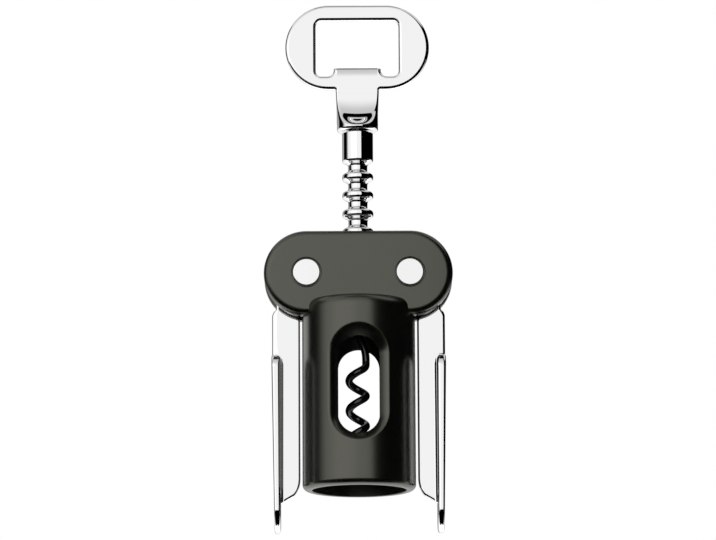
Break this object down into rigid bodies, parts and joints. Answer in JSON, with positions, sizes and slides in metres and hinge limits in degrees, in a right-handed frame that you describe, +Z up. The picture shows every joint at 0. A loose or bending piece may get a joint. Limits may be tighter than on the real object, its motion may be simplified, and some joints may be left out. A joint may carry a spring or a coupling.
{
  "type": "winged corkscrew",
  "caption": "Double-lever corkscrew with a barrel that seats over a bottle's neck, toothed side levers, a ringed rack spindle with a wire worm, and a ring handle with a crown cap opener.",
  "frame": {"origin": "centre of the barrel's mouth, on the axis of the screw", "axes": "+Z up along the axis of the screw to the handle, +Y to the back, through the pivots' thickness, +X to the right lever seen from the front"},
  "size_m": [0.0668, 0.04, 0.1904],
  "materials": {
    "housing_plastic": "satin dark warm grey moulded plastic",
    "bush_plastic": "plain self-lubricating plastic",
    "pin_steel": "bright turned steel",
    "lever_chrome": "polished and chrome plated casting",
    "handle_chrome": "polished and chrome plated casting",
    "spindle_chrome": "turned and chrome plated steel",
    "worm_coating": "glossy black non-stick coating on steel wire"
  },
  "bodies": {
    "housing": {"housing": "housing_plastic", "pivot_pin_left": "pin_steel", "pivot_pin_right": "pin_steel", "pivot_cap_left": "pin_steel", "pivot_cap_right": "pin_steel"},
    "lever_left": {"lever_left": "lever_chrome"},
    "lever_right": {"lever_right": "lever_chrome"},
    "guide_bush": {"guide_bush": "bush_plastic"},
    "screw": {"rack_spindle": "spindle_chrome", "handle": "handle_chrome", "handle_pin": "pin_steel", "worm": "worm_coating", "worm_pin": "pin_steel"}
  },
  "joints": [
    {"name": "lever_left_pivot", "type": "hinge", "parent": "housing", "child": "lever_left", "pos_m": [-0.0183, 0, 0.0766], "axis": [0, 1, 0], "range_deg": [0, 140]},
    {"name": "lever_right_pivot", "type": "hinge", "parent": "housing", "child": "lever_right", "pos_m": [0.0183, 0, 0.0766], "axis": [0, -1, 0], "range_deg": [0, 140]},
    {"name": "handle_spin", "type": "hinge", "parent": "housing", "child": "guide_bush", "pos_m": [0, 0, 0.0905], "axis": [0, 0, 1], "continuous": true},
    {"name": "screw_travel", "type": "slide", "parent": "guide_bush", "child": "screw", "axis": [0, 0, -1], "range_m": [0, 0.03391]}
  ],
  "couplings": [
    {"joint": "lever_right_pivot", "follows": "lever_left_pivot", "ratio": 1},
    {"joint": "screw_travel", "follows": "lever_left_pivot", "m_per_rad": 0.013875}
  ]
}
